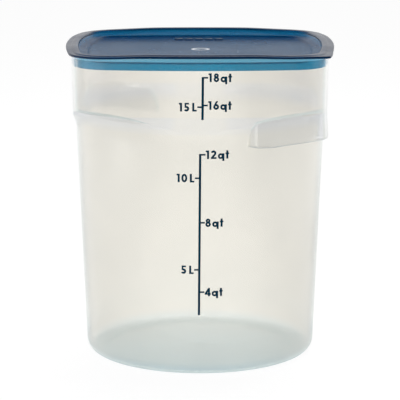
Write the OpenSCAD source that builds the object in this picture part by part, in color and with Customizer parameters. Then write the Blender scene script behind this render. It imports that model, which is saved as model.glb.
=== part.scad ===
// Square-mouthed food storage container with a snap-in lid.
// The lower body is a round, slightly tapered tub. A concave shoulder turns it
// into a bulged square above, and at two opposite corners the square wall runs
// on below the shoulder as a skirt, which makes the hand holds.
// Front faces -Y, +Z is up, and the origin is the centre of the underside.

/* [Outline] */
// Half width of the lid across the middle of a side
half_w = 144.2; // [120:0.1:170]
// How far the middle of each side bulges past its ends
bulge = 17.2; // [8:0.1:24]
// Radius of the lid's rounded corners
corner_r = 46; // [30:0.5:60]
// Radius of the squarer corner that forms the lift tab
tab_corner_r = 7; // [5:0.5:12]

/* [Container] */
// Height of the container's rim
rim_z = 338.8; // [320:0.1:360]
// Thickness of the moulded walls
wall = 2.6; // [2.2:0.1:3]
// Thickness of the floor
floor_t = 3.0; // [2.4:0.1:4]
// How far the rim sits inside the lid's edge
rim_inset = 5.5; // [5:0.1:7]
// Draft of the square upper wall, mm per mm of height
draft = 0.0152; // [0.005:0.0005:0.02]
// Radius of the round tub at its underside, before the base fillet
tub_r = 125.0; // [122:0.1:128]
// Taper of the round tub, mm per mm of height
taper = 0.0395; // [0.03:0.0005:0.042]
// Radius of the fillet round the base
base_fillet = 12.6; // [8:0.1:16]
// Radius of the concave shoulder
shoulder_r = 30; // [26:0.5:32]
// Height at which the shoulder leaves the tub
shoulder_z = 247; // [244:0.5:248]
// Rise of the ledge outside the shoulder, mm per mm
ledge_slope = 0.30; // [0.1:0.05:0.4]

/* [Hand holds] */
// Height of the lower edge of the skirt
skirt_z = 245.3; // [242:0.1:250]
// Half width of the skirt, measured across the corner
skirt_half = 54.8; // [45:0.1:58]
// Thickness of the skirt
skirt_t = 2.2; // [1.8:0.1:2.3]
// Outward flare of the skirt's lower edge
skirt_flare = 2.2; // [1:0.1:3]
// Radius of the arch in the skirt's lower edge
arch_r = 200; // [160:5:300]
// Rise of the arch at the corner
arch_rise = 4.5; // [2:0.1:6]

/* [Lid] */
// Top of the lid's outer ring
lid_top = 341.2; // [341.2:0.1:341.2]
// Thickness of the lid's mouldings
lid_t = 2.2; // [1.8:0.1:2.4]
// Width of the lid's outer ring
outer_ring_w = 13.4; // [12.8:0.1:14]
// Drop from the outer ring to the inner ring
outer_step = 5.6; // [4:0.1:6]
// Width of the inner ring
inner_ring_w = 11; // [8:0.1:14]
// Drop from the inner ring to the panel
inner_step = 3.6; // [3:0.1:5]
// Gap between the seal band and the container's wall
seal_gap = 0.28; // [0.2:0.01:0.5]
// Height of the bottom of the seal band
seal_z = 324.8; // [322:0.1:328]
// Height of the top of the seal band
seal_top = 333.7; // [331.5:0.1:334]
// Number of raised grip pads on the panel
grip_count = 5; // [3:1:7]
// Height of the grip pads above the panel
grip_h = 1.2; // [0.6:0.1:1.6]
// Depth of the print in the panel
print_t = 0.2; // [0.15:0.01:0.4]

/* [Volume scale] */
// Height of the figures
fig_h = 8.9; // [8.7:0.1:9.1]
// Thickness of the printed film
ink_t = 0.22; // [0.15:0.01:0.3]
// Width of the long lines
line_w = 2.45; // [1.2:0.05:2.8]
// Width of the figures' strokes
pen = 2.15; // [1.6:0.05:2.25]
// Length of the ticks
tick_len = 5.3; // [4:0.1:5.6]

/* [Hidden] */
side_flats = 8;      // flats along each bulged side
corner_flats = 8;    // flats round each corner
overlap = 0.01;      // joins stacked bands
past = 5;            // how far cutting and clipping shapes run past the part

// Each side is an arc of side_r, centred side_c along the axis it faces
side_r = (half_w * half_w + bulge * bulge) / (2 * bulge);
side_c = half_w - side_r;

// Container
tub_lean = atan(taper);
crease_z = shoulder_z + shoulder_r;
ledge_reach = 30;    // length of the ledge in the tub's section
skirt_top = crease_z + 3.5;
skirt_low_inset = wall_inset(skirt_z) - skirt_flare;
skirt_top_inset = wall_inset(skirt_top) + 0.25;
skirt_lean = (skirt_top_inset - skirt_low_inset) / (skirt_top - skirt_z);

// Lid
flange_z = lid_top - lid_t;
ring_z = lid_top - outer_step;
panel_z = ring_z - inner_step;
panel_inset = outer_ring_w + inner_ring_w;
seal_inset = wall_inset(seal_z) + wall + seal_gap;
neck_inset = outer_ring_w - lid_t - 0.6;
grip_size = [9.4, 26];
grip_pitch = 11.2;
grip_corner = [-6.1, 86];    // front left corner of the middle pad
grip_sunk = 0.5;             // depth of the pads' roots in the panel
print_centre = [0.5, -2.5];
print_outer_r = 10;
print_inner_r = 6.8;

// --- the outline: four large arcs joined by corner arcs ---------------------
// Centre of a corner arc of radius r, the same distance along x and y
function corner_centre(r) =
    (side_c + sqrt(2 * (side_r - r) * (side_r - r) - side_c * side_c)) / 2;
// Angle at which a side's arc meets that corner
function corner_angle(r) = atan2(corner_centre(r), corner_centre(r) - side_c);
function quarter_turn(p, q) = [p[0] * cos(90 * q) - p[1] * sin(90 * q),
                               p[0] * sin(90 * q) + p[1] * cos(90 * q)];
// One side, from the corner before it to the corner after
function side_pts(inset, r_before, r_after) =
    let (from = -corner_angle(r_before), to = corner_angle(r_after))
    [for (i = [0 : side_flats - 1])
        let (a = from + (to - from) * i / side_flats)
        [side_c + (side_r - inset) * cos(a), (side_r - inset) * sin(a)]];
function corner_pts(inset, r) =
    let (c = corner_centre(r), from = corner_angle(r))
    [for (i = [0 : corner_flats - 1])
        let (a = from + (90 - 2 * from) * i / corner_flats)
        [c + (r - inset) * cos(a), c + (r - inset) * sin(a)]];
// The whole outline, moved inwards by inset; tab_r is the front right corner's radius
function outline(inset, tab_r = corner_r) =
    [for (q = [0 : 3])
        let (before = q == 0 ? tab_r : corner_r, after = q == 3 ? tab_r : corner_r)
        for (p = concat(side_pts(inset, before, after), corner_pts(inset, after)))
            quarter_turn(p, q)];

function arc_pts(cx, cy, r, from, to, n) =
    [for (i = [0 : n])
        let (a = from + (to - from) * i / n)
        [cx + r * cos(a), cy + r * sin(a)]];

// A closed block on the outline whose sides lean: inset0 at z0, inset1 at z1
module leaning_block(inset0, z0, inset1, z1) {
    low = outline(inset0);
    high = outline(inset1);
    n = len(low);
    polyhedron(
        points = concat([for (p = low) [p[0], p[1], z0]], [for (p = high) [p[0], p[1], z1]]),
        faces = concat(
            [[for (i = [0 : n - 1]) i]],
            [[for (i = [n - 1 : -1 : 0]) n + i]],
            [for (i = [0 : n - 1]) [i, n + i, n + (i + 1) % n, (i + 1) % n]]));
}

// A ring on the outline, between two insets and two heights
module band(outer, inner, z0, z1, tab_r = corner_r) {
    translate([0, 0, z0]) linear_extrude(height = z1 - z0) difference() {
        polygon(outline(outer, tab_r));
        polygon(outline(inner));
    }
}

// --- container ---------------------------------------------------------------
// Inset of the square wall's outer face, and radius of the round tub, at height z
function wall_inset(z) = rim_inset + draft * (rim_z - z);
function tub(z) = tub_r + taper * z;
function skirt_inset(z) = skirt_low_inset + skirt_lean * (z - skirt_z);

// The drafted square wall's shape, moved inwards by inset
module wall_block(inset, z0, z1) {
    leaning_block(wall_inset(z0) + inset, z0, wall_inset(z1) + inset, z1);
}

// The tub and shoulder, moved inwards by inset, from the floor at z0
module tub_solid(inset, z0, top) {
    fillet_x = tub(base_fillet) - base_fillet;
    shoulder_x = tub(shoulder_z) + shoulder_r;
    ledge_x = shoulder_x + ledge_reach;
    rotate_extrude($fn = 180) polygon(concat(
        [[0, z0], [fillet_x, z0]],
        arc_pts(fillet_x, base_fillet, base_fillet - inset, -81, -tub_lean, 9),
        arc_pts(shoulder_x, shoulder_z, shoulder_r + inset, 180 - tub_lean, 90, 12),
        [[ledge_x, crease_z + inset + ledge_reach * ledge_slope], [ledge_x, top], [0, top]]));
}

module cavity() {
    intersection() {
        wall_block(wall, -2 * past, rim_z + 2 * past);
        tub_solid(wall, floor_t, rim_z + past);
    }
}

module skirt_block(inset, z0, z1) {
    leaning_block(skirt_inset(z0) + inset, z0, skirt_inset(z1) + inset, z1);
}

// A box lying along the front right diagonal, from start outwards
module corner_box(start, length, half, z0, z1) {
    rotate([0, 0, -45]) translate([start, -half, z0]) cube([length, 2 * half, z1 - z0]);
}

// The front right hand hold: a skirt that hangs from the shoulder across the corner
module skirt() {
    difference() {
        intersection() {
            skirt_block(0, skirt_z - past, skirt_top);
            corner_box(115, 100, skirt_half, skirt_z, skirt_top);
        }
        // hollow behind the skirt
        intersection() {
            skirt_block(skirt_t, skirt_z - 2 * past, skirt_top + past);
            corner_box(60, 200, skirt_half - skirt_t, skirt_z - past, skirt_top + 2 * past);
        }
        // arch in the lower edge
        rotate([0, 0, -45]) translate([50, 0, skirt_z - arch_r + arch_rise])
            rotate([0, 90, 0]) cylinder(r = arch_r, h = 200, $fn = 360);
    }
}

module container() {
    color([0.87, 0.86, 0.82, 0.6])
    difference() {
        union() {
            intersection() {
                wall_block(0, -2 * past, rim_z);
                tub_solid(0, 0, rim_z + past);
            }
            skirt();
            rotate([0, 0, 180]) skirt();
        }
        cavity();
    }
}

// --- lid -----------------------------------------------------------------------
module lid() {
    color([0.16, 0.31, 0.45])
    difference() {
        union() {
            // outer ring, with the squarer lift tab at the front right corner
            band(0, outer_ring_w, flange_z, lid_top, tab_corner_r);
            // wall down to the inner ring, thickened by the neck of the plug
            band(neck_inset, outer_ring_w, ring_z - lid_t, flange_z + overlap);
            band(neck_inset, panel_inset, ring_z - lid_t, ring_z);
            // wall down to the panel, and the panel
            band(panel_inset - lid_t, panel_inset, panel_z - lid_t, ring_z);
            translate([0, 0, panel_z - lid_t]) linear_extrude(height = lid_t)
                polygon(outline(panel_inset - lid_t));
            // seal band that plugs the mouth
            band(seal_inset, neck_inset + lid_t, seal_top - lid_t, seal_top);
            band(seal_inset, seal_inset + lid_t, seal_z, seal_top);
            grip_pads();
        }
        // shallow recess that holds the print flush with the panel
        print_ring(0.8);
    }
}

// Row of raised pads towards the back of the panel
module grip_pads() {
    for (i = [0 : grip_count - 1])
        translate([(i - (grip_count - 1) / 2) * grip_pitch + grip_corner[0],
                   grip_corner[1], panel_z - grip_sunk])
            cube([grip_size[0], grip_size[1], grip_h + grip_sunk]);
}

// Flat ring sunk print_t into the panel, h high
module print_ring(h) {
    translate([print_centre[0], print_centre[1], panel_z - print_t]) difference() {
        cylinder(r = print_outer_r, h = h, $fn = 96);
        translate([0, 0, -1]) cylinder(r = print_inner_r, h = h + 2, $fn = 96);
    }
}

// Plain ring printed at the middle of the panel
module lid_print() {
    color("white")
    print_ring(print_t);
}

// --- figures: origin at the left end of the base line --------------------------
foot_h = 1.75;       // flat strokes of 1, 2 and L
crossbar_h = 1.7;    // flat strokes of 4 and 5

module block(x, y, w, h) {
    translate([x, y]) square([w, h]);
}
// Slanting stroke between two points
module bar(from, to) {
    d = to - from;
    translate(from) rotate(atan2(d[1], d[0])) translate([0, -pen / 2]) square([norm(d), pen]);
}
module loop(x, y, r, w = pen) {
    difference() {
        translate([x, y]) circle(r = r, $fn = 48);
        translate([x, y]) circle(r = r - w, $fn = 48);
    }
}
module curve(x, y, r, from, to) {
    polygon(concat(arc_pts(x, y, r, from, to, 18), arc_pts(x, y, r - pen, to, from, 18)));
}
module oval(x, y, rx, ry) {
    polygon([for (i = [0 : 39]) [x + rx * cos(9 * i), y + ry * sin(9 * i)]]);
}
module glyph(c) {
    h = fig_h;
    if (c == "1") {
        block(1.15, 0, pen, h);
        block(0, h - foot_h, 1.5, foot_h);
    }
    if (c == "2") {
        curve(2.85, h - 2.85, 2.85, -38, 165);
        bar([4.5, h - 3.8], [0.95, 0.8]);
        block(0, 0, 5.8, foot_h);
    }
    if (c == "4") {
        block(3.35, 0, pen, h);
        block(0, 1.65, 6.3, crossbar_h);
        bar([0.75, 2.35], [4.1, h - 0.95]);
    }
    if (c == "5") {
        curve(2.65, 2.85, 2.85, -150, 125);
        block(0.8, h - crossbar_h, 4.5, crossbar_h);
        block(0.8, 3.9, 1.7, h - 3.9);
    }
    if (c == "6") {
        loop(3, 2.95, 2.95);
        polygon([[0.15, 3.6], [2.9, h], [5.1, h], [1.9, 3.2]]);
    }
    if (c == "8") {
        loop(2.95, 2.8, 2.8, pen - 0.15);
        loop(2.95, h - 2.4, 2.4, pen - 0.25);
    }
    if (c == "0") difference() {
        oval(2.95, h / 2, 3.05, h / 2);
        oval(2.95, h / 2, 3.1 - pen, h / 2 - pen + 0.1);
    }
    if (c == "q") {
        loop(3, 2.75, 3, pen - 0.15);
        block(6.75 - pen, -2.3, pen, 7.95);
    }
    if (c == "t") {
        block(0.8, 0, pen, h - 0.3);
        block(0, 4.7, 3.8, 1.6);
    }
    if (c == "L") {
        block(0, 0, pen, h);
        block(0, 0, 4.6, foot_h);
    }
}
// Width of a figure, and the gap left before it
function glyph_w(c) = c == "1" ? 3.3 : c == "q" ? 6.75 : c == "t" ? 3.8 : c == "L" ? 4.6 : 5.9;
function glyph_gap(c) = c == "t" ? 1.1 : c == "L" ? 2.7 : c == "q" ? 1.35 : 1.75;
function start_x(s, i) =
    i == 0 ? 0 : start_x(s, i - 1) + glyph_w(s[i - 1]) + glyph_gap(s[i]);
function label_w(s) = start_x(s, len(s) - 1) + glyph_w(s[len(s) - 1]);

// --- volume scale, on the front --------------------------------------------------
tick_h = 1.7;
tick_full = tick_len + 0.1;
right_gap = 0.45;    // from tick_len to a label on the right
left_gap = 0.7;      // from tick_len to a label on the left
ink_gap = 0.03;      // between the container and the film

// Lines: lower and upper end, each [x, z]
upper_line = [[2.55, 274.9], [2.95, 319.25]];
lower_line = [[-1.1, 67], [0.2, 239.2]];
// Marks: label, x on the line, z, side (1 right, -1 left)
upper_marks = [
    ["18qt", 2.9, 318.4, 1], ["16qt", 2.65, 289.9, 1], ["15L", 2.65, 288.15, -1]
];
lower_marks = [
    ["12qt", 0.3, 238.35, 1], ["10L", 0.1, 213.7, -1], ["8qt", -0.35, 166.45, 1],
    ["5L", -0.7, 116, -1], ["4qt", -0.8, 91.9, 1]
];

// A tick and its label
module mark(label, x, z, side) {
    label_x = side > 0 ? x + tick_len + right_gap : x - tick_len - left_gap - label_w(label);
    block(side > 0 ? x : x - tick_full, z - tick_h / 2, tick_full, tick_h);
    for (i = [0 : len(label) - 1])
        translate([label_x + start_x(label, i), z - fig_h / 2]) glyph(label[i]);
}

// A long line and its marks, standing upright and run forwards through the wall
module printed(line, marks) {
    half = [line_w / 2, 0];
    translate([0, -115, 0]) rotate([90, 0, 0]) linear_extrude(height = 40) {
        polygon([line[0] - half, line[0] + half, line[1] + half, line[1] - half]);
        for (m = marks) mark(m[0], m[1], m[2], m[3]);
    }
}

// The round tub's cone, grown by out
module tub_cone(out, z0, z1) {
    translate([0, 0, z0])
        cylinder(h = z1 - z0, r1 = tub(z0) + out, r2 = tub(z1) + out, $fn = 360);
}

module volume_scale() {
    color([0.08, 0.22, 0.36])
    union() {
        // on the flat-sided upper wall
        intersection() {
            printed(upper_line, upper_marks);
            difference() {
                wall_block(-ink_gap - ink_t, 265, 330);
                wall_block(-ink_gap, 265 - past, 330 + past);
            }
        }
        // on the round tub
        intersection() {
            printed(lower_line, lower_marks);
            difference() {
                tub_cone(ink_gap + ink_t, 60, 246);
                tub_cone(ink_gap, 60 - 2 * past, 246 + 2 * past);
            }
        }
    }
}

container();
lid();
volume_scale();
lid_print();
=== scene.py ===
"""Square food container with rounded corners, a round tub, two hand holds and a snap lid.

The container stands on z = 0 with its axis on z. Front is -y, where the camera stands, and
right is +x. Sizes are in millimetres unless a comment says metres; meshes are made in metres.
"""

import math
from functools import lru_cache

import bmesh
import bpy
import numpy as np
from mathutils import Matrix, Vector


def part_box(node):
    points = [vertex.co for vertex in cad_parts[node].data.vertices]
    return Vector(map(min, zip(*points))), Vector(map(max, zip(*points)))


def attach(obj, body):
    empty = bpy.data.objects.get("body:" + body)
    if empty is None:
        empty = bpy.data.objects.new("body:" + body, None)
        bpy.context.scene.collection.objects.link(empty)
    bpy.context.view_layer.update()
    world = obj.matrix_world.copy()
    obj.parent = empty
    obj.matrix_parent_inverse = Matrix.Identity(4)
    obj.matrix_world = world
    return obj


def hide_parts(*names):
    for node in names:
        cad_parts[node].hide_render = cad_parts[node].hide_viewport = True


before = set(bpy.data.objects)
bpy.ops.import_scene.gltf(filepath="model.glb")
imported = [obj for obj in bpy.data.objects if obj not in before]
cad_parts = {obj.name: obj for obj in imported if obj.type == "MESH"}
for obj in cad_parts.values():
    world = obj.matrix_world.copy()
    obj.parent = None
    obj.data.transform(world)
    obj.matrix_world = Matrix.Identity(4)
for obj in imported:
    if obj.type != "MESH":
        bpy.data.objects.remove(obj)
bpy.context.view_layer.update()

MM = 0.001

# ------------------------------------------------------------- dimensions ---
# Outline: four large side arcs joined by corner arcs
HALF_W = 144.2          # centre to the corner end of a side arc's chord, and to its middle
BULGE = 17.2
CORNER_R = 46.0
TAB_R = 7.0             # squarer front right corner of the lid
SIDE_R = (HALF_W**2 + BULGE**2) / (2 * BULGE)
SIDE_C = HALF_W - SIDE_R    # centre of a side arc, beyond the axis

# Square mouth
RIM_Z = 338.8
RIM_INSET = 5.5         # from the lid's outline to the rim
RIM_ROUND = 0.9
DRAFT = 0.0152
WALL = 2.6
DROOP = 1.56            # sag of rim and lid at the corners
DROOP_START_Z = 296.0

# Round tub
TUB_R = 125.0
TAPER = 0.0395
TUB_SLOPE = math.atan(TAPER)
BASE_FILLET = 12.6
FLOOR_T = 3.0
UNDERSIDE_Z = 0.3       # centre of the gate mark

# Shoulder arc between tub and mouth, running out into a sloping ledge
SHOULDER_R = 30.0
SHOULDER_Z = 247.0
LEDGE = 0.30            # slope of the ledge
LEDGE_L = 30
SHOULDER_END = 90 + math.degrees(math.atan(LEDGE)) * 0.55   # degrees

# Hand holds below the front right and back left corners
SKIRT_Z = 245.3
SKIRT_HALF = 54.8
SKIRT_T = 2.2
SKIRT_FLARE = 2.2
SKIRT_FILLET = 3.4
SKIRT_EDGE_RISE = 0.86  # room for the rounded lower edge
FLARE_TOP_Z = 277.0
SETBACK = 0.14          # keeps the top of the skirt inside the wall
SETBACK_Z = 262.0       # height where the setback starts
SETBACK_H = 12
ARCH_R = 200.0
ARCH_RISE = 4.5

# Steps of the meshes
BODY_COLUMNS = 400
SHOULDER_STEPS, CREASE_STEPS, WALL_STEPS = 16, 5, 16
PATH_ARC_STEPS, PATH_LEDGE_STEPS, PATH_STRIDE = 600, 60, 20
FLANK_STEPS, FILLET_STEPS, FACE_STEPS, SKIRT_LEVELS = 12, 6, 72, 14
LID_SIDE_STEPS, LID_CORNER_STEPS = 30, 26
LID_COLUMNS = 4 * (LID_SIDE_STEPS + LID_CORNER_STEPS)


# ---------------------------------------------------------------- outline ---
def corner_centre(radius):
    """x and y of a corner arc's centre, on the diagonal."""
    reach = SIDE_C**2 - (SIDE_R - radius) ** 2
    return (2 * SIDE_C + math.sqrt(4 * SIDE_C**2 - 8 * reach)) / 4


def corner_angle(radius):
    """Angle about the side arc's centre where it meets the corner arc."""
    centre = corner_centre(radius)
    return math.atan2(centre, centre - SIDE_C)


def outline(inset, front_right_r=CORNER_R, side_steps=26, corner_steps=22):
    """Points of the outline moved inwards, anticlockwise from the front right corner."""
    points = []
    for quarter in range(4):
        start_r = front_right_r if quarter == 0 else CORNER_R
        end_r = front_right_r if quarter == 3 else CORNER_R
        start, end = corner_angle(start_r), corner_angle(end_r)
        run = []
        for i in range(side_steps):
            a = -start + (start + end) * i / side_steps
            radius = SIDE_R - inset
            run.append((SIDE_C + radius * math.cos(a), radius * math.sin(a)))
        centre = corner_centre(end_r)
        for i in range(corner_steps):
            a = end + (math.pi / 2 - 2 * end) * i / corner_steps
            radius = end_r - inset
            run.append((centre + radius * math.cos(a), centre + radius * math.sin(a)))
        for x, y in run:
            for _ in range(quarter):
                x, y = -y, x
            points.append((x, y))
    return np.array(points)


@lru_cache(maxsize=None)
def polar_outline(inset):
    """Sorted angles and radii of the inset outline, overlapping a little at both ends."""
    points = outline(inset, side_steps=120, corner_steps=120)
    angles = np.arctan2(points[:, 1], points[:, 0])
    radii = np.hypot(points[:, 0], points[:, 1])
    order = np.argsort(angles)
    angles, radii = angles[order], radii[order]
    angles = np.concatenate([angles[-3:] - 2 * np.pi, angles, angles[:3] + 2 * np.pi])
    radii = np.concatenate([radii[-3:], radii, radii[:3]])
    return angles, radii


def outline_radius(angle, inset):
    angles, radii = polar_outline(round(inset, 4))
    return np.interp((angle + np.pi) % (2 * np.pi) - np.pi, angles, radii)


def wall_inset(z):
    return RIM_INSET + DRAFT * (RIM_Z - z)


def tub_radius(z):
    return TUB_R + TAPER * z


def clamp01(u):
    return min(max(u, 0.0), 1.0)


def smooth01(u):
    u = np.clip(u, 0.0, 1.0)
    return u * u * (3 - 2 * u)


def droop(x, y):
    """How far the rim and lid sag, from nothing at mid side to DROOP at the corners."""
    off_side = np.abs((np.arctan2(y, x) + np.pi / 4) % (np.pi / 2) - np.pi / 4)
    return DROOP * smooth01((np.degrees(off_side) - 19.0) / 23.0)


# ----------------------------------------------------------- mesh helpers ---
def shade_smooth(mesh, sharp_angle):
    for polygon in mesh.polygons:
        polygon.use_smooth = True
    if sharp_angle:
        mesh.set_sharp_from_angle(angle=math.radians(sharp_angle))


def make_object(name, verts, faces, sharp_angle=35.0):
    mesh = bpy.data.meshes.new(name)
    mesh.from_pydata([tuple(v) for v in verts], [], faces)
    mesh.validate()
    bm = bmesh.new()
    bm.from_mesh(mesh)
    bmesh.ops.recalc_face_normals(bm, faces=bm.faces)
    bm.to_mesh(mesh)
    bm.free()
    shade_smooth(mesh, sharp_angle)
    ob = bpy.data.objects.new(name, mesh)
    bpy.context.scene.collection.objects.link(ob)
    return ob


def band_faces(ring_a, ring_b, count):
    """Quads between two closed rings, given by the index of their first vertices."""
    faces = []
    for j in range(count):
        k = (j + 1) % count
        faces.append((ring_a + j, ring_a + k, ring_b + k, ring_b + j))
    return faces


def grid_faces(rows, count, first=0):
    """Quads between successive closed rings of vertices."""
    faces = []
    for i in range(rows - 1):
        faces += band_faces(first + i * count, first + (i + 1) * count, count)
    return faces


def arc(cx, cy, radius, start, end, steps):
    """Points of an arc between two angles in degrees."""
    angles = [math.radians(start + (end - start) * i / steps) for i in range(steps + 1)]
    return [(cx + radius * math.cos(a), cy + radius * math.sin(a)) for a in angles]


def apply_union(ob, other):
    """Merges other into ob and removes it."""
    boolean = ob.modifiers.new("union", "BOOLEAN")
    boolean.operation = "UNION"
    boolean.solver = "EXACT"
    boolean.object = other
    depsgraph = bpy.context.evaluated_depsgraph_get()
    mesh = bpy.data.meshes.new_from_object(ob.evaluated_get(depsgraph))
    ob.modifiers.clear()
    ob.data = mesh
    bpy.data.objects.remove(other)


def finish_mesh(ob, name, sharp_angle):
    ob.data.name = name
    ob.name = name
    shade_smooth(ob.data, sharp_angle)


# -------------------------------------------------------------- container ---
SHOULDER_X = tub_radius(SHOULDER_Z) + SHOULDER_R    # radius of the shoulder arc's centre

# (radius, z) of the underside from the centre outwards: gate mark, recess, standing ring
UNDERSIDE = [
    (2.2, 0.35), (2.8, 0.45), (3.2, 0.75), (4.0, 0.8), (20, 0.8), (50, 0.8), (80, 0.8),
    (98.0, 0.8), (99.2, 0.72), (100.6, 0.28), (101.8, 0.0), (106, 0.0),
]
FLOOR_RADII = (90, 60, 30, 8)   # rings of the inner floor


def shoulder_path(inset):
    """Fine (radius, z) path up the shoulder and along the ledge, moved into the wall."""
    path = arc(SHOULDER_X, SHOULDER_Z, SHOULDER_R + inset,
               180 - math.degrees(TUB_SLOPE), SHOULDER_END, PATH_ARC_STEPS)
    x, z = path[-1]
    for i in range(1, PATH_LEDGE_STEPS + 1):
        run = LEDGE_L * i / PATH_LEDGE_STEPS
        path.append((x + run, z + LEDGE * run))
    return np.array(path)


def wall_column(angle, inset, crease_r, top_z):
    """(radius, z) points from the shoulder's start over the crease and up the wall."""
    path = shoulder_path(inset)
    path_r = path[:, 0]
    coarse = [outline_radius(angle, round(wall_inset(z) + inset, 1))
              for z in path[::PATH_STRIDE, 1]]
    wall_r = np.interp(np.arange(len(path)), np.arange(0, len(path), PATH_STRIDE), coarse)
    # the corner is where the path crosses the wall
    k = int(np.argmax(path_r >= wall_r))
    closing = (path_r[k] - path_r[k - 1]) - (wall_r[k] - wall_r[k - 1])
    corner = path[k - 1] + (path[k] - path[k - 1]) * ((wall_r[k - 1] - path_r[k - 1]) / closing)
    # even steps of arc length, stopping short of the corner
    steps = np.hypot(*(np.diff(path[:k], axis=0).T))
    length = np.concatenate([[0], np.cumsum(steps)])
    at = (length[-1] - crease_r) * np.linspace(0, 1, SHOULDER_STEPS + 1)
    lower = np.stack([np.interp(at, length, path[:k, i]) for i in (0, 1)], 1)
    # a Bezier curve rounds the crease
    wall_z = corner[1] + crease_r
    rim_r = outline_radius(angle, wall_inset(RIM_Z) + inset)
    wall_start = np.interp(wall_z, [corner[1], RIM_Z], [corner[0], rim_r])
    start, end = lower[-1], np.array([wall_start, wall_z])
    crease = []
    for i in range(1, CREASE_STEPS):
        u = i / CREASE_STEPS
        crease.append((1 - u) ** 2 * start + 2 * u * (1 - u) * corner + u * u * end)
    zs = wall_z + (top_z - wall_z) * np.linspace(0, 1, WALL_STEPS + 1)
    top_r = outline_radius(angle, round(wall_inset(top_z) + inset, 4))
    wall = wall_start + (top_r - wall_start) * (zs - wall_z) / (top_z - wall_z)
    return np.concatenate([lower, np.array(crease), np.stack([wall, zs], 1)])


def container_rows(angles):
    """Rings of (radius, z), from the middle of the underside round to the inner floor."""
    fillet_r = tub_radius(BASE_FILLET) - BASE_FILLET
    slope = math.degrees(TUB_SLOPE)
    round_rows = UNDERSIDE + [(fillet_r - 2, 0.0)]
    round_rows += arc(fillet_r, BASE_FILLET, BASE_FILLET, -90, -slope, 14)
    tub_zs = np.linspace(round_rows[-1][1] + 4, SHOULDER_Z - 4, 34)
    round_rows += [(tub_radius(z), z) for z in tub_zs]
    rows = [[point] * len(angles) for point in round_rows]

    columns = [wall_column(a, 0.0, crease_r=1.3, top_z=RIM_Z) for a in angles]
    for i in range(len(columns[0]) - 1):
        rows.append([tuple(c[i]) for c in columns])

    # rim, rounded over on the outside and the inside
    inner_top = [outline_radius(a, round(wall_inset(RIM_Z) + WALL, 4)) for a in angles]
    edges = (([c[-1][0] for c in columns], 1, np.linspace(0, 90, 6)),
             (inner_top, -1, np.linspace(90, 0, 6)))
    for radii, side, turns in edges:
        for turn in np.radians(turns):
            back = side * (RIM_ROUND * math.cos(turn) - RIM_ROUND)
            z = RIM_Z - RIM_ROUND + RIM_ROUND * math.sin(turn)
            rows.append([(r + back, z) for r in radii])

    columns = [wall_column(a, WALL, crease_r=1.6, top_z=RIM_Z - RIM_ROUND) for a in angles]
    for i in range(len(columns[0]) - 2, -1, -1):
        rows.append([tuple(c[i]) for c in columns])

    inner_fillet = BASE_FILLET - WALL
    round_rows = [(tub_radius(z) - WALL, z) for z in tub_zs[::-1]]
    round_rows += arc(fillet_r, FLOOR_T + inner_fillet, inner_fillet, -slope, -90, 12)
    round_rows += [(r, FLOOR_T) for r in FLOOR_RADII]
    return rows + [[point] * len(angles) for point in round_rows]


def build_container():
    count = BODY_COLUMNS
    angles = np.arange(count) * 2 * np.pi / count + np.pi / count
    rows = container_rows(angles)
    verts = []
    for row in rows:
        ring = np.array(row)
        x, y = ring[:, 0] * np.cos(angles), ring[:, 0] * np.sin(angles)
        verts.append(np.stack([x, y, ring[:, 1]], 1))
    verts = np.concatenate(verts)
    sag = smooth01((verts[:, 2] - DROOP_START_Z) / (RIM_Z - DROOP_START_Z))
    verts[:, 2] -= droop(verts[:, 0], verts[:, 1]) * sag
    verts = list(map(tuple, verts * MM))
    faces = grid_faces(len(rows), count)
    # centres of the underside and the inner floor
    bottom, top = len(verts), len(verts) + 1
    verts += [(0, 0, UNDERSIDE_Z * MM), (0, 0, FLOOR_T * MM)]
    last = (len(rows) - 1) * count
    for j in range(count):
        k = (j + 1) % count
        faces.append((bottom, k, j))
        faces.append((top, last + j, last + k))
    return make_object("container_body", verts, faces)


# -------------------------------------------------------------- hand holds ---
# A skirt is laid out by d, the distance along the diagonal, and s, the offset to its side.

# (share of the thickness, drop) of the rounded lower edge
SKIRT_EDGE = ((0.12, -0.495), (0.35, -0.855), (0.65, -0.855), (0.88, -0.495))


@lru_cache(maxsize=None)
def diagonal_outline(inset):
    """s and d of the inset outline around the front right corner, sorted by s."""
    points = outline(inset, side_steps=160, corner_steps=160)
    d = (points[:, 0] - points[:, 1]) / math.sqrt(2)
    s = (points[:, 0] + points[:, 1]) / math.sqrt(2)
    near = (d > 60) & (np.abs(s) < 75)
    order = np.argsort(s[near])
    return s[near][order], d[near][order]


def face_reach(s, inset):
    """d of the inset outline at side offset s."""
    return np.interp(s, *diagonal_outline(round(inset, 3)))


def face_angle(s, inset):
    """Direction of the inset outline's normal at side offset s."""
    step = 0.5
    slope = (face_reach(s + step, inset) - face_reach(s - step, inset)) / (2 * step)
    return math.atan2(-slope, 1.0)


def shoulder_height(radius):
    """Height of the middle of the shoulder's and ledge's wall."""
    mid_r = SHOULDER_R + WALL / 2
    end = math.radians(SHOULDER_END)
    edge = SHOULDER_X + mid_r * math.cos(end)
    if radius >= edge:
        return SHOULDER_Z + mid_r * math.sin(end) + LEDGE * (radius - edge)
    return SHOULDER_Z + math.sqrt(max(mid_r * mid_r - (SHOULDER_X - radius) ** 2, 0.0))


def skirt_inset(z):
    flare = SKIRT_FLARE * clamp01((FLARE_TOP_Z - z) / (FLARE_TOP_Z - SKIRT_Z))
    return wall_inset(z) - flare + SETBACK * clamp01((z - SETBACK_Z) / SETBACK_H)


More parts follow.
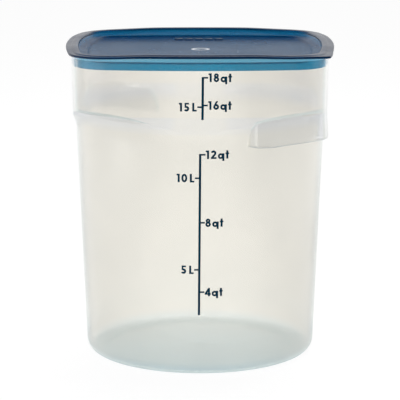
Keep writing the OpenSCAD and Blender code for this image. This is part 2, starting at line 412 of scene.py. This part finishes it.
def skirt_columns():
    """(part, share along the part, side) of each column, from one flank to the other."""
    edge = [("flank", i / FLANK_STEPS) for i in range(FLANK_STEPS)]
    edge += [("fillet", i / FILLET_STEPS) for i in range(FILLET_STEPS)]
    columns = [(part, u, -1) for part, u in edge]
    columns += [("face", i / FACE_STEPS, 0) for i in range(FACE_STEPS + 1)]
    return columns + [(part, u, 1) for part, u in reversed(edge)]


def skirt_plan(column, depth, z):
    """(d, s) of a column at height z, at a depth below the skirt's outer face."""
    part, u, side = column
    inset = skirt_inset(z) + depth
    half = SKIRT_HALF - depth
    fillet = SKIRT_FILLET - depth
    centre_s = half - fillet
    centre_d = face_reach(centre_s, inset + fillet)
    if part == "flank":
        # from the middle of the tub's wall out to the fillet
        tub_mid = tub_radius(min(z, SHOULDER_Z)) - WALL / 2
        start = math.sqrt(tub_mid**2 - half * half)
        return start + (centre_d - start) * u, side * half
    normal = face_angle(centre_s, inset)
    if part == "fillet":
        turn = math.pi / 2 + (normal - math.pi / 2) * u
        d = centre_d + fillet * math.cos(turn)
        return d, side * (centre_s + fillet * math.sin(turn))
    face_half = centre_s + fillet * math.sin(normal)
    s = -face_half + 2 * face_half * u
    return face_reach(s, inset), s


def skirt_column_points(column, depth):
    """(d, s, z) points from the arched lower edge up into the shoulder's wall."""
    s = skirt_plan(column, depth, SETBACK_Z)[1]
    arch = SKIRT_Z - ARCH_R + ARCH_RISE + math.sqrt(ARCH_R**2 - s * s)
    low = SKIRT_EDGE_RISE + max(SKIRT_Z, arch)
    # the plan moves with the height, so the top is found in a few rounds
    top = SETBACK_Z
    for _ in range(4):
        top = shoulder_height(math.hypot(*skirt_plan(column, depth, top)))
    points = []
    for level in range(SKIRT_LEVELS + 1):
        z = low + (top - low) * level / SKIRT_LEVELS
        points.append((*skirt_plan(column, depth, z), z))
    return points


def build_skirt(name, sign):
    """Closed shell of one hand hold: sign 1 is at the front right, -1 at the back left."""
    columns = skirt_columns()
    outer_points = [skirt_column_points(c, 0.0) for c in columns]
    inner_points = [skirt_column_points(c, SKIRT_T) for c in columns]
    verts = []

    def add(point):
        d, s, z = point
        x, y = (d + s) / math.sqrt(2), (s - d) / math.sqrt(2)
        verts.append((sign * x * MM, sign * y * MM, z * MM))
        return len(verts) - 1

    outer = [[add(p) for p in column] for column in outer_points]
    inner = [[add(p) for p in column] for column in inner_points]
    edge = []
    for out_column, in_column in zip(outer_points, inner_points):
        start, end = np.array(out_column[0]), np.array(in_column[0])
        edge.append([add(start + (end - start) * share + np.array((0, 0, drop)))
                     for share, drop in SKIRT_EDGE])

    faces = []
    for i in range(len(columns) - 1):
        out_a, out_b, in_a, in_b = outer[i], outer[i + 1], inner[i], inner[i + 1]
        for w in range(SKIRT_LEVELS):
            faces.append((out_a[w], out_b[w], out_b[w + 1], out_a[w + 1]))
            faces.append((in_b[w], in_a[w], in_a[w + 1], in_b[w + 1]))
        faces.append((out_a[-1], out_b[-1], in_b[-1], in_a[-1]))
        strip_a = [out_a[0]] + edge[i] + [in_a[0]]
        strip_b = [out_b[0]] + edge[i + 1] + [in_b[0]]
        for k in range(len(strip_a) - 1):
            faces.append((strip_a[k + 1], strip_b[k + 1], strip_b[k], strip_a[k]))
    # end caps, turned opposite ways
    for i, order in ((0, -1), (-1, 1)):
        cap = outer[i] + inner[i][::-1] + edge[i][::-1]
        faces.append(tuple(cap[::order]))
    return make_object(name, verts, faces)


# --------------------------------------------------------------------- lid ---
# Section of the lid as (inset, z). Top side, from the outer edge inwards:
LID_TOP = [
    # edge and lip
    (0.95, 337.95), (0.4, 338.05), (0.08, 338.4), (0.0, 338.9), (0.0, 339.3),
    (0.08, 339.65), (0.32, 339.98), (0.75, 340.22), (1.35, 340.36), (2.1, 340.42),
    # crest
    (3.2, 340.4), (4.4, 340.36), (5.3, 340.34), (5.8, 340.38), (6.2, 340.6),
    (6.7, 340.95), (7.3, 341.12), (9.1, 341.17), (10.6, 341.19), (11.9, 341.06),
    # down to the sloping border
    (12.5, 340.85), (12.9, 340.55), (13.15, 340.1), (13.35, 339.4), (13.55, 338.7),
    (13.8, 338.15), (14.2, 337.75), (14.8, 337.45), (15.8, 337.05), (17.2, 336.45),
    # down to the flat panel
    (19.2, 335.6), (21.2, 334.8), (22.4, 334.4), (23.1, 334.12), (23.65, 333.75),
    (24.05, 333.3), (24.45, 332.8), (24.95, 332.38), (25.6, 332.1), (26.3, 332.0),
]
# Underside, from the panel back outwards:
LID_UNDER = [
    # panel and border
    (26.3, 329.8), (24.2, 329.8), (23.1, 330.0), (22.5, 330.5), (22.25, 331.3),
    (22.1, 332.0), (21.7, 332.5), (21.0, 332.7), (17, 332.9), (13.6, 332.9),
    # inner face of the plug
    (13.0, 332.75), (12.8, 332.4), (12.8, 331.8), (12.65, 331.5), (11.3, 331.5),
    (10.95, 331.4), (10.8, 331.1), (10.8, 325.3), (10.65, 324.95), (10.3, 324.8),
    # foot and outer face of the plug
    (9.3, 324.8), (8.95, 324.9), (8.68, 325.2), (8.60, 325.8), (8.52, 329),
    (8.48, 333.6), (8.55, 334.0), (8.85, 334.25), (9.2, 334.3), (10.1, 334.3),
    # neck, then the underside of the rim
    (10.45, 334.45), (10.6, 334.8), (10.6, 338.5), (10.45, 338.85), (10.1, 339.0),
    (8, 339.0), (6, 339.0), (4, 339.0), (3.1, 339.0), (2.7, 338.88), (2.52, 338.6),
    (2.45, 338.25), (2.25, 338.02), (1.9, 337.95),
]
CREST_Z = 341.19
# Places in the tables above
STIFF_POINTS = range(9, 33)     # of LID_UNDER: the plug, which does not sag
PLUG_BANDS = range(10, 25)      # of LID_UNDER
NECK_BANDS = range(25, 34)      # of LID_UNDER
PANEL_FIRST = 25                # of LID_TOP
# Material slots
DEEP, PLUG, NECK, PANEL = range(4)
PANEL_RINGS = (0.93, 0.8, 0.6, 0.4, 0.2, 0.07)  # shares of the panel's outline

TAB_FADE_FROM, TAB_FADE_L = 2.0, 8.0    # insets over which the squarer corner fades out
TAB_INSET_MAX = 4.0     # the small corner arc is not inset further than this
TAB_PULL = 2.7          # extra reach of the squarer corner


def lid_ring(inset):
    """Plan of the lid at an inset, with the squarer front right corner near the edge."""
    def ring(at, **corner):
        return outline(at, side_steps=LID_SIDE_STEPS, corner_steps=LID_CORNER_STEPS, **corner)

    plain = ring(inset)
    weight = float(1 - smooth01((inset - TAB_FADE_FROM) / TAB_FADE_L))
    if weight <= 0:
        return plain
    tab = ring(min(inset, TAB_INSET_MAX), front_right_r=TAB_R)
    x, y = tab.T.copy()
    corner = (x > 60) & (y < -60)
    tab[:, 0] += np.where(corner, TAB_PULL * smooth01((-y - 70) / 55), 0.0)
    tab[:, 1] -= np.where(corner, TAB_PULL * smooth01((x - 70) / 55), 0.0)
    if inset > TAB_INSET_MAX:
        tab = tab + (plain - ring(TAB_INSET_MAX))
    return plain * (1 - weight) + tab * weight


def lid_slot(band):
    """Material slot of the band that starts at a point of the section."""
    under = band - len(LID_TOP)
    if under in NECK_BANDS:
        return NECK
    if under in PLUG_BANDS:
        return PLUG
    return PANEL if band >= PANEL_FIRST and under < PLUG_BANDS.start else DEEP


def lid_section_verts():
    verts = []
    for i, (inset, z) in enumerate(LID_TOP + LID_UNDER):
        x, y = lid_ring(inset).T
        # the sag fades out towards the panel
        sag = 1 - smooth01((inset - 15.0) / 9.0)
        if i - len(LID_TOP) in STIFF_POINTS:
            sag = 0.0
        # the squarer front right corner sags less than the plain ones
        tab = smooth01(((x - y) / math.sqrt(2) - 150.0) / 26.0)
        # towards the back the crest is as wide as the lip
        if 1.7 < inset < 11.0 and z > 340.0:
            widening = float(smooth01((inset - 2.4) / 3.4))
            z = z + (CREST_Z - z) * widening * smooth01((y - 50.0) / 60.0)
        verts.append(np.stack([x, y, z - droop(x, y) * sag * (1 - 0.45 * tab)], 1))
    verts = np.concatenate(verts) * MM
    # stay within the CAD lid's plan
    lo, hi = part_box("lid")
    for axis in (0, 1):
        verts[:, axis] = np.clip(verts[:, axis], lo[axis], hi[axis])
    return list(map(tuple, verts))


def build_lid():
    verts = lid_section_verts()
    count, section = LID_COLUMNS, len(LID_TOP) + len(LID_UNDER)
    faces, slots = [], []
    for i in range(section):
        # the panel is closed by rings towards the centre, not by a band
        if i == len(LID_TOP) - 1:
            continue
        faces += band_faces(i * count, (i + 1) % section * count, count)
        slots += [lid_slot(i)] * count
    for row, z in ((len(LID_TOP) - 1, LID_TOP[-1][1]), (len(LID_TOP), LID_UNDER[0][1])):
        previous = row * count
        base = verts[previous:previous + count]
        for share in PANEL_RINGS:
            start = len(verts)
            verts += [(x * share, y * share, z * MM) for x, y, _ in base]
            faces += band_faces(previous, start, count)
            previous = start
        centre = len(verts)
        verts.append((0, 0, z * MM))
        faces += [(previous + j, previous + (j + 1) % count, centre) for j in range(count)]
    slots += [PANEL] * (len(faces) - len(slots))
    ob = make_object("lid_tmp", verts, faces, 40)
    # stand-ins that hold the slots through the union
    for name in ("lid_deep", "lid_plug", "lid_neck", "lid_panel"):
        ob.data.materials.append(bpy.data.materials.new(name))
    for polygon, slot in zip(ob.data.polygons, slots):
        polygon.material_index = slot
    return ob


def rounded_pad(name, cx, cy, half_x, half_y, corner_r, low, high, edge):
    """A raised pad with rounded corners and a rounded top edge."""
    plan = []
    for quarter, (sx, sy) in enumerate(((1, 1), (-1, 1), (-1, -1), (1, -1))):
        for k in range(7):
            a = math.pi / 2 * (quarter + k / 6)
            plan.append((cx + sx * (half_x - corner_r), cy + sy * (half_y - corner_r),
                         math.cos(a), math.sin(a)))
    levels = [(corner_r, low), (corner_r, high - edge)]
    levels += arc(corner_r - edge, high - edge, edge, 0, 90, 4)[1:]
    verts = [((x + ux * r) * MM, (y + uy * r) * MM, z * MM)
             for r, z in levels for x, y, ux, uy in plan]
    count = len(plan)
    faces = grid_faces(len(levels), count)
    faces.append(tuple(range(count))[::-1])
    faces.append(tuple(range(len(verts) - count, len(verts))))
    return make_object(name, verts, faces)


def build_pads():
    """Row of five pads near the back of the lid's panel, as one object."""
    pitch, shift = 11.2, -1.4
    pads = [rounded_pad("pad%d" % i, (i - 2) * pitch + shift, 99.0, half_x=4.7, half_y=13.0,
                        corner_r=1.6, low=331.2, high=333.2, edge=0.5) for i in range(5)]
    bm = bmesh.new()
    for pad in pads:
        bm.from_mesh(pad.data)
    bm.to_mesh(pads[0].data)
    bm.free()
    for pad in pads[1:]:
        bpy.data.objects.remove(pad)
    return pads[0]


def build_ring_mark():
    """Thin printed ring near the middle of the lid."""
    cx, cy, outer, inner, low, high, count = 0.5, -2.5, 10.0, 6.8, 331.97, 332.06, 128
    profile = [(inner, low), (inner, high - 0.02), (inner + 0.03, high),
               (outer - 0.03, high), (outer, high - 0.02), (outer, low)]
    verts = []
    for r, z in profile:
        for j in range(count):
            a = 2 * math.pi * j / count
            verts.append(((cx + r * math.cos(a)) * MM, (cy + r * math.sin(a)) * MM, z * MM))
    faces = grid_faces(len(profile), count)
    faces += band_faces(len(verts) - count, 0, count)
    return make_object("lid_ring_print", verts, faces)


container = build_container()
apply_union(container, build_skirt("skirt_tmp1", 1))
apply_union(container, build_skirt("skirt_tmp2", -1))
finish_mesh(container, "container_shell", 32)

lid = build_lid()
apply_union(lid, build_pads())
finish_mesh(lid, "lid_moulding", 40)

mark = build_ring_mark()

# object, the piece it rides on, the piece it replaces, its material slot
for ob, rides_on, replaced, slot_name in (
    (container, "container", "container", "clear_plastic"),
    (lid, "lid", "lid", "lid_plastic"),
    (mark, "lid", "lid_print", "white_ink"),
):
    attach(ob, rides_on)
    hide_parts(replaced)


# ------------------------------------------------------------ node helper ---
class Graph:
    """Builds the node tree of a material or world. Lengths in it are in metres."""

    def __init__(self, owner, output="OutputMaterial"):
        self.owner = owner
        owner.use_nodes = True
        self.tree = owner.node_tree
        self.tree.nodes.clear()
        self.output = self.node(output)

    def node(self, kind, inputs=(), **props):
        node = self.tree.nodes.new("ShaderNode" + kind)
        for key, value in props.items():
            setattr(node, key, value)
        for key, value in dict(inputs).items():
            if isinstance(value, bpy.types.NodeSocket):
                self.tree.links.new(value, node.inputs[key])
            else:
                node.inputs[key].default_value = value
        return node

    def out(self, kind, inputs=(), **props):
        """First output of a new node."""
        return self.node(kind, inputs, **props).outputs[0]

    def finish(self, surface):
        self.tree.links.new(surface, self.output.inputs[0])
        return self.owner

    def coords(self, space="Object"):
        return self.node("TexCoord").outputs[space]

    def axes(self, vector):
        return self.node("SeparateXYZ", {0: vector}).outputs

    def length(self, vector):
        return self.node("VectorMath", {0: vector}, operation="LENGTH").outputs["Value"]

    def math(self, operation, *values):
        return self.out("Math", enumerate(values), operation=operation)

    def times(self, a, b):
        return self.math("MULTIPLY", a, b)

    def less(self, value):
        """1 - value."""
        return self.math("SUBTRACT", 1.0, value)

    def ramp(self, value, span, to=(0.0, 1.0), smooth=True):
        """Maps the span of values to another, eased at both ends if smooth."""
        return self.out("MapRange", enumerate((value, *span, *to)),
                        interpolation_type="SMOOTHSTEP" if smooth else "LINEAR")

    def line(self, value, span, to=(0.0, 1.0)):
        return self.ramp(value, span, to, smooth=False)

    def stretched(self, vector, scale, turn=(0, 0, 0)):
        return self.out("Mapping", {"Vector": vector, "Scale": scale, "Rotation": turn})

    def noise(self, vector, scale, detail, rough):
        inputs = {"Vector": vector, "Scale": scale, "Detail": detail, "Roughness": rough}
        return self.node("TexNoise", inputs).outputs["Fac"]

    def mix_color(self, factor, a, b):
        node = self.node("Mix", {0: factor, 6: a, 7: b}, data_type="RGBA")
        return node.outputs[2]

    def mix_value(self, factor, a, b):
        return self.out("Mix", {0: factor, 2: a, 3: b}, data_type="FLOAT")

    def mix_shader(self, factor, a, b):
        return self.out("MixShader", {0: factor, 1: a, 2: b})

    def bump(self, height, distance, strength, normal=None):
        inputs = {"Height": height, "Distance": distance, "Strength": strength}
        if normal is not None:
            inputs["Normal"] = normal
        return self.out("Bump", inputs)


def material_graph(name):
    return Graph(bpy.data.materials.new(name))


# --------------------------------------------------------------- materials ---
BEND = 1.3      # refractive index used for light inside the clear plastic
SURFACE_IOR = 1.49


def clear_tint(g, coords, cloud, z):
    """Tint of the light that passes each surface of the container, with painted shade darkening
    the base.
    """
    low = (0.962, 0.955, 0.932, 1)
    mouth_side, mouth_corner = (0.986, 0.976, 0.952, 1), (0.946, 0.938, 0.924, 1)
    hand_hold = (0.950, 0.954, 0.960, 1)
    # painted shade: the base is tinted darker and bluer, standing in for the shadow on the floor
    # under the container
    base = (0.93, 0.955, 0.955, 1)
    cloudy = (0.94, 0.935, 0.915, 1)
    radius = g.length(g.stretched(coords, scale=(1, 1, 0)))
    top = g.mix_color(g.ramp(radius, span=(0.148, 0.174)), mouth_side, mouth_corner)
    tint = g.mix_color(g.ramp(z, span=(0.255, 0.292)), low, top)
    beyond_tub = g.ramp(radius, span=(0.1365, 0.1380))
    below_ledge = g.ramp(z, span=(0.2760, 0.2775), to=(1.0, 0.0))
    tint = g.mix_color(g.times(beyond_tub, below_ledge), tint, hand_hold)
    tint = g.mix_color(g.ramp(z, span=(0.001, 0.013), to=(1.0, 0.0)), tint, base)
    return g.mix_color(g.line(cloud, span=(0.35, 0.7), to=(0.0, 0.2)), tint, cloudy)


def clear_plastic():
    g = material_graph("clear_polypropylene")
    coords = g.coords()
    z = g.axes(coords)[2]
    flow = g.noise(g.stretched(coords, scale=(9, 9, 5)), scale=1.0, detail=3.0, rough=0.5)
    cloud = g.noise(coords, scale=14.0, detail=4.0, rough=0.55)
    grain = g.noise(coords, scale=1500.0, detail=2.0, rough=0.6)
    streaks = g.stretched(coords, scale=(60, 60, 1100), turn=(0.35, 0.2, 0.0))
    scuffs = g.ramp(g.noise(streaks, scale=1.0, detail=2.0, rough=0.6), span=(0.70, 0.78))
    wave = g.bump(flow, distance=0.0004, strength=0.5)
    normal = g.bump(grain, distance=0.000004, strength=0.2, normal=wave)
    refraction = g.out("BsdfRefraction", {
        "Color": clear_tint(g, coords, cloud, z),
        "IOR": BEND,
        "Roughness": g.line(cloud, span=(0.3, 0.7), to=(0.13, 0.17)),
        "Normal": wave,
    })
    # cloudy scattering in the plastic, painted darker and cooler towards the base as shade under
    # the container
    haze = g.mix_color(g.ramp(z, span=(0.0, 0.09)), (0.78, 0.87, 0.885, 1), (0.93, 0.92, 0.89, 1))
    diffuse = g.out("BsdfDiffuse", {"Color": haze, "Normal": normal})
    translucent = g.out("BsdfTranslucent", {"Color": haze, "Normal": normal})
    milk = g.mix_shader(0.8, diffuse, translucent)
    milk_share = g.line(cloud, span=(0.3, 0.75), to=(0.025, 0.05))
    milk_share = g.math("MULTIPLY_ADD", scuffs, 0.03, milk_share)
    body = g.mix_shader(milk_share, refraction, milk)
    gloss_rough = g.line(cloud, span=(0.3, 0.7), to=(0.12, 0.18))
    gloss = g.out("BsdfGlossy", {
        "Color": (1, 1, 1, 1),
        "Roughness": g.math("MULTIPLY_ADD", scuffs, 0.15, gloss_rough),
        "Normal": normal,
    })
    # light held inside the wall at steep angles leaks out again through the cloudy plastic
    inside = g.node("NewGeometry").outputs["Backfacing"]
    held = g.out("Fresnel", {"IOR": BEND, "Normal": wave})
    trapped = g.times(inside, g.ramp(held, span=(0.25, 0.9)))
    leak = g.out("BsdfTransparent", {"Color": (0.88, 0.945, 0.95, 1)})
    body = g.mix_shader(g.times(trapped, 0.92), body, leak)
    ior = g.line(inside, span=(0.0, 1.0), to=(SURFACE_IOR, BEND))
    mirror = g.out("Fresnel", {"IOR": ior, "Normal": normal})
    # reflection is capped on the inside
    cap = g.line(inside, span=(0.0, 1.0), to=(1.0, 0.30))
    return g.finish(g.mix_shader(g.math("MINIMUM", mirror, cap), body, gloss))


def lid_plastic(name, dark, light, through, share, spec, glance=0.8, glow=None, rough=0.19):
    """Blue plastic; share is the light let through, glance the part of it left at a low angle;
    glow, if given, is painted light given off as emission.
    """
    g = material_graph(name)
    coords = g.coords()
    cloud = g.noise(coords, scale=22.0, detail=4.0, rough=0.55)
    grain = g.noise(coords, scale=1100.0, detail=3.0, rough=0.6)
    # two crossing sets of scratches
    scratches = []
    for scale, turn in (((40, 1100, 40), 0.5), ((900, 35, 35), -0.35)):
        streaks = g.stretched(coords, scale=scale, turn=(0, 0, turn))
        scratch = g.noise(streaks, scale=1.0, detail=2.0, rough=0.6)
        scratches.append(g.ramp(scratch, span=(0.70, 0.78)))
    scuffs = g.math("MAXIMUM", *scratches)
    sink = g.bump(g.noise(coords, scale=8.0, detail=2.0, rough=0.4), distance=0.0004, strength=0.5)
    geometry = g.node("NewGeometry").outputs
    worn = g.ramp(geometry["Pointiness"], span=(0.52, 0.62))
    color = g.mix_color(g.line(cloud, span=(0.3, 0.7)), dark, light)
    base_rough = g.line(cloud, span=(0.3, 0.7), to=(rough, rough + 0.06))
    inputs = {
        "Base Color": g.mix_color(g.times(worn, 0.15), color, (0.02, 0.10, 0.19, 1)),
        "Roughness": g.math("MULTIPLY_ADD", scuffs, 0.12, base_rough),
        "IOR": 1.5,
        "Specular IOR Level": spec,
        "Specular Tint": (0.84, 0.88, 1.0, 1),
        "Normal": g.bump(grain, distance=0.000012, strength=0.4, normal=sink),
    }
    # painted glow: an emission that stands in for light carried through the moulding, though the
    # part is no lamp
    if glow is not None:
        inputs.update({"Emission Color": glow, "Emission Strength": 1.0})
    surface = g.out("BsdfPrincipled", inputs)
    # light that passes each surface: most of it straight, some of it scattered
    clear = g.out("BsdfTransparent", {"Color": through})
    scattered = g.out("BsdfTranslucent", {"Color": through})
    # less of it at a glancing angle
    facing = g.node("VectorMath", {0: geometry["Incoming"], 1: geometry["Normal"]},
                    operation="DOT_PRODUCT").outputs["Value"]
    amount = g.ramp(g.math("ABSOLUTE", facing), span=(0.10, 0.75), to=(share * glance, share))
    return g.finish(g.mix_shader(amount, surface, g.mix_shader(0.2, clear, scattered)))


def ink(name, dark, light, rough, spec):
    g = material_graph(name)
    coords = g.coords()
    mottle = g.noise(coords, scale=350.0, detail=3.0, rough=0.6)
    grain = g.noise(coords, scale=2600.0, detail=2.0, rough=0.6)
    return g.finish(g.out("BsdfPrincipled", {
        "Base Color": g.mix_color(g.line(mottle, span=(0.3, 0.7)), dark, light),
        "Roughness": g.line(mottle, span=(0.3, 0.7), to=(rough - 0.05, rough + 0.08)),
        "Specular IOR Level": spec,
        "Normal": g.bump(grain, distance=0.000015, strength=0.6),
    }))


def assign(ob, material):
    """Puts the material in every slot, on the mesh and on the object."""
    materials = ob.data.materials
    if not materials:
        materials.append(material)
    for i in range(len(materials)):
        materials[i] = material
    for slot in ob.material_slots:
        slot.material = material


# in the order of the slots DEEP, PLUG, NECK, PANEL. All four are the same blue plastic: the plug,
# neck and panel copies are painted lighter than the ring, as painted light shining through them.
LID_PLASTICS = (
    dict(name="lid_polyethylene", dark=(0.0010, 0.016, 0.056, 1), light=(0.002, 0.020, 0.066, 1),
         through=(0.06, 0.46, 0.72, 1), share=0.36, spec=0.34, glance=0.12, rough=0.17),
    # plug: base colour painted light teal, painted light standing in for light from behind
    dict(name="lid_plug_painted_backlight", dark=(0.005, 0.21, 0.365, 1), light=(0.008, 0.25, 0.41, 1),
         through=(0.16, 0.665, 0.875, 1), share=0.8, spec=0.3),
    # neck: base colour painted light and a painted glow, both standing in for light carried
    # through the moulding
    dict(name="lid_neck_painted_glow", dark=(0.22, 0.50, 0.66, 1), light=(0.26, 0.55, 0.70, 1),
         through=(0.45, 0.80, 0.92, 1), share=0.3, spec=0.3, glow=(0.11, 0.35, 0.48, 1)),
    # panel: base colour painted lighter than the ring's, painted light standing in for light
    # shining up through it
    dict(name="lid_panel_painted_light", dark=(0.0008, 0.030, 0.090, 1),
         light=(0.0015, 0.036, 0.102, 1), through=(0.06, 0.48, 0.74, 1),
         share=0.46, spec=0.30, glance=0.78, rough=0.22),
)

assign(container, clear_plastic())
for slot, plastic in enumerate(LID_PLASTICS):
    lid.data.materials[slot] = lid_plastic(**plastic)
assign(mark, ink("white_print", dark=(0.80, 0.83, 0.87, 1), light=(0.87, 0.90, 0.93, 1),
                 rough=0.45, spec=0.01))
assign(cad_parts["volume_scale"],
       ink("navy_print", dark=(0.002, 0.040, 0.080, 1), light=(0.003, 0.048, 0.095, 1),
           rough=0.42, spec=0.04))


# ------------------------------------------------------------------ studio ---
def build_world():
    world = bpy.data.worlds.new("studio")
    bpy.context.scene.world = world
    g = Graph(world, "OutputWorld")
    x, y, z = g.axes(g.coords("Generated"))
    # what shows through the walls: bright all round, darker to the front
    front = g.ramp(y, span=(-0.8, 0.25), to=(0.45, 1.0))
    right = g.ramp(x, span=(0.15, 0.95), to=(1.0, 0.54))
    left = g.ramp(x, span=(-0.95, -0.15), to=(0.77, 1.0))
    sides = g.times(right, left)
    seen = g.times(front, sides)
    # what the surfaces reflect: a dimmer room, dark to the front and overhead
    back = g.ramp(y, span=(-0.3, 0.7), to=(0.02, 0.70))
    up = g.ramp(z, span=(0.70, 0.95), to=(1.0, 0.15))
    room = g.times(g.times(back, up), sides)
    rays = g.node("LightPath").outputs
    level = g.mix_value(rays["Is Transmission Ray"], room, seen)
    # plain white to the camera
    level = g.mix_value(rays["Is Camera Ray"], level, 1.0)
    g.finish(g.out("Background", {"Color": (1.0, 1.0, 1.0, 1), "Strength": level}))


def build_floor():
    """Large disc just below the container, in metres."""
    count, z = 96, -0.0004
    radii = [0.05, 0.1, 0.15, 0.2, 0.3, 0.5, 1, 2, 5, 10, 20, 40.0]
    verts = [(0, 0, z)]
    for r in radii:
        for j in range(count):
            a = 2 * math.pi * j / count
            verts.append((r * math.cos(a), r * math.sin(a), z))
    faces = [(0, 1 + j, 1 + (j + 1) % count) for j in range(count)]
    faces += grid_faces(len(radii), count, first=1)
    return make_object("studio_floor", verts, faces, sharp_angle=0)


def floor_material():
    """Glowing pale floor that looks different to the camera and to other rays."""
    g = material_graph("pale_floor")
    coords = g.coords()
    mottle = g.line(g.noise(coords, scale=6.0, detail=3.0, rough=0.5), span=(0.3, 0.7))
    diffuse = g.out("BsdfDiffuse", {
        "Color": g.mix_color(mottle, (0.86, 0.86, 0.86, 1), (0.88, 0.88, 0.88, 1)),
    })
    x, y, _ = g.axes(coords)
    rays = g.node("LightPath").outputs
    near = g.ramp(y, span=(-1.0, -0.2), to=(0.45, 1.0))
    # a brighter patch at the left and front, for rays that have not passed the plastic
    patch = g.times(g.ramp(x, span=(-1.3, -0.6), to=(1.5, 0.0)),
                    g.ramp(y, span=(-0.5, 0.2), to=(1.0, 0.0)))
    patch = g.times(patch, g.less(rays["Is Transmission Ray"]))
    # shade under the container, deeper and cooler to the front
    under = g.times(g.less(rays["Is Camera Ray"]),
                    g.ramp(g.length(coords), span=(0.1205, 0.1265), to=(1.0, 0.0)))
    shade = g.mix_color(g.line(y, span=(-0.12, 0.12)),
                        (0.46, 0.58, 0.64, 1), (0.82, 0.84, 0.84, 1))
    # a little dimmer to the right and the left of the middle
    dim_right = g.times(g.ramp(x, span=(0.03, 0.14), to=(0.0, 0.19)),
                        g.ramp(x, span=(0.40, 0.75), to=(1.0, 0.0)))
    dim_left = g.times(g.ramp(x, span=(-0.14, -0.03), to=(0.15, 0.0)),
                       g.ramp(x, span=(-0.75, -0.40), to=(0.0, 1.0)))
    sides = g.less(g.math("ADD", dim_right, dim_left))
    unseen = g.times(g.math("ADD", g.times(near, sides), patch), 1.18)
    glow = g.out("Emission", {
        "Color": g.mix_color(under, (1.0, 1.0, 1.0, 1), shade),
        "Strength": g.mix_value(rays["Is Camera Ray"], unseen, 1.1),
    })
    return g.finish(g.mix_shader(0.14, glow, diffuse))


def softbox(name, location, target, size, power):
    """Square area light, in metres and watts, that leaves no reflection."""
    light = bpy.data.lights.new(name, "AREA")
    light.shape = "RECTANGLE"
    light.size = size
    light.size_y = size
    light.energy = power
    ob = bpy.data.objects.new(name, light)
    ob.location = location
    aim = Vector(target) - Vector(location)
    ob.rotation_euler = aim.to_track_quat("-Z", "Y").to_euler()
    bpy.context.scene.collection.objects.link(ob)
    ob.visible_glossy = False


def build_camera():
    """Camera in front, looking slightly down; places are in metres."""
    camera = bpy.data.cameras.new("view")
    camera.sensor_width = 36.0
    camera.lens = 173.967
    camera.shift_y = 0.00085
    camera.clip_start = 0.05
    camera.clip_end = 200.0
    ob = bpy.data.objects.new("view", camera)
    ob.location = (0.0, -2.09096, 0.57246)
    ob.rotation_euler = (math.radians(90 - 11.041), 0, 0)
    bpy.context.scene.collection.objects.link(ob)
    bpy.context.scene.camera = ob


def set_render():
    scene = bpy.context.scene
    scene.view_settings.view_transform = "Standard"
    scene.view_settings.look = "None"
    scene.cycles.transparent_max_bounces = 24
    scene.cycles.max_bounces = 12
    scene.cycles.transmission_bounces = 12
    scene.cycles.diffuse_bounces = 5
    scene.cycles.glossy_bounces = 4


build_world()
floor = build_floor()
assign(floor, floor_material())
softbox("key", location=(-1.3, -1.6, 1.5), target=(0, 0, 0.17), size=0.9, power=9)
softbox("top", location=(0.2, 0.5, 2.2), target=(0, 0, 0.3), size=1.4, power=30)
build_camera()
set_render()
